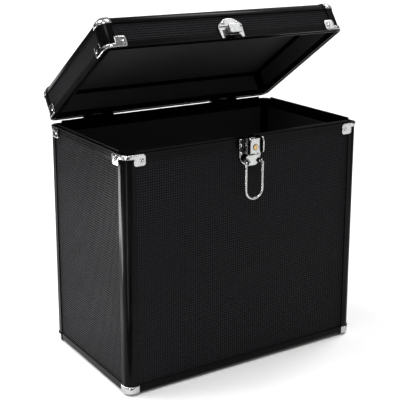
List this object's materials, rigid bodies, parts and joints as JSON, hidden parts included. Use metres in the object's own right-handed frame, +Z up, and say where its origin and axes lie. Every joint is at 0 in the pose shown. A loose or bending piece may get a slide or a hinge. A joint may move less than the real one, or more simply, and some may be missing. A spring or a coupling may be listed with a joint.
{
  "type": "record carrying case",
  "caption": "Upright hard case with a hinged lid, embossed black panels in aluminium profiles, steel corners, a draw latch with a key lock and a folding handle.",
  "frame": {"origin": "on the floor, under the middle of the body", "axes": "+Z up, +Y towards the hinges at the back, +X to the right seen from the front"},
  "size_m": [0.3498, 0.2379, 0.4454],
  "materials": {
    "panel": "black laminate embossed with small diamonds",
    "profile": "satin black anodised",
    "lining": "plain matt black",
    "rubber_foot": "plain black",
    "fitting": "bright plated steel",
    "lock_brass": "turned",
    "handle_plastic": "moulded black"
  },
  "bodies": {
    "case_body": {"body_board_back": "panel", "body_board_bottom": "panel", "body_board_front": "panel", "body_board_left": "panel", "body_board_right": "panel", "body_bottom_edge_back": "profile", "body_bottom_edge_front": "profile", "body_bottom_edge_left": "profile", "body_bottom_edge_right": "profile", "body_corner_caps": "fitting", "body_lining": "lining", "body_post_back_left": "profile", "body_post_back_right": "profile", "body_post_front_left": "profile", "body_post_front_right": "profile", "body_rim_back": "profile", "body_rim_brackets": "fitting", "body_rim_front": "profile", "body_rim_left": "profile", "body_rim_right": "profile", "body_rivets": "fitting", "feet": "rubber_foot", "hinge_lower_leaf_left": "fitting", "hinge_lower_leaf_right": "fitting", "hinge_pins": "fitting", "latch_base": "fitting", "latch_lever_pin": "fitting"},
    "lid": {"handle_brackets": "fitting", "handle_pins": "fitting", "hinge_upper_leaf_left": "fitting", "hinge_upper_leaf_right": "fitting", "keeper": "fitting", "lid_board_back": "panel", "lid_board_front": "panel", "lid_board_left": "panel", "lid_board_right": "panel", "lid_board_top": "panel", "lid_corner_caps": "fitting", "lid_lining": "lining", "lid_post_back_left": "profile", "lid_post_back_right": "profile", "lid_post_front_left": "profile", "lid_post_front_right": "profile", "lid_rim_back": "profile", "lid_rim_brackets": "fitting", "lid_rim_front": "profile", "lid_rim_left": "profile", "lid_rim_right": "profile", "lid_rivets": "fitting", "lid_top_edge_back": "profile", "lid_top_edge_front": "profile", "lid_top_edge_left": "profile", "lid_top_edge_right": "profile"},
    "lever": {"latch_lever": "fitting"},
    "bail": {"latch_bail": "fitting"},
    "lock": {"lock_plug": "lock_brass"},
    "handle": {"handle_grip": "handle_plastic"}
  },
  "joints": [
    {"name": "lid_hinge", "type": "hinge", "parent": "case_body", "child": "lid", "pos_m": [0, 0.105, 0.2975], "axis": [-1, 0, 0], "range_deg": [-34.5, 60]},
    {"name": "latch_lever", "type": "hinge", "parent": "case_body", "child": "lever", "pos_m": [0, -0.1085, 0.2955], "axis": [-1, 0, 0], "range_deg": [0, 90]},
    {"name": "latch_bail", "type": "hinge", "parent": "lever", "child": "bail", "pos_m": [0, -0.11, 0.2695], "axis": [1, 0, 0], "range_deg": [-186.3, 8]},
    {"name": "lock_turn", "type": "hinge", "parent": "lever", "child": "lock", "pos_m": [0, -0.1085, 0.288], "axis": [0, -1, 0], "range_deg": [0, 90]},
    {"name": "handle_fold", "type": "hinge", "parent": "lid", "child": "handle", "pos_m": [0, 0.04565, 0.39653], "axis": [1, 0, 0], "range_deg": [0, 95]}
  ]
}
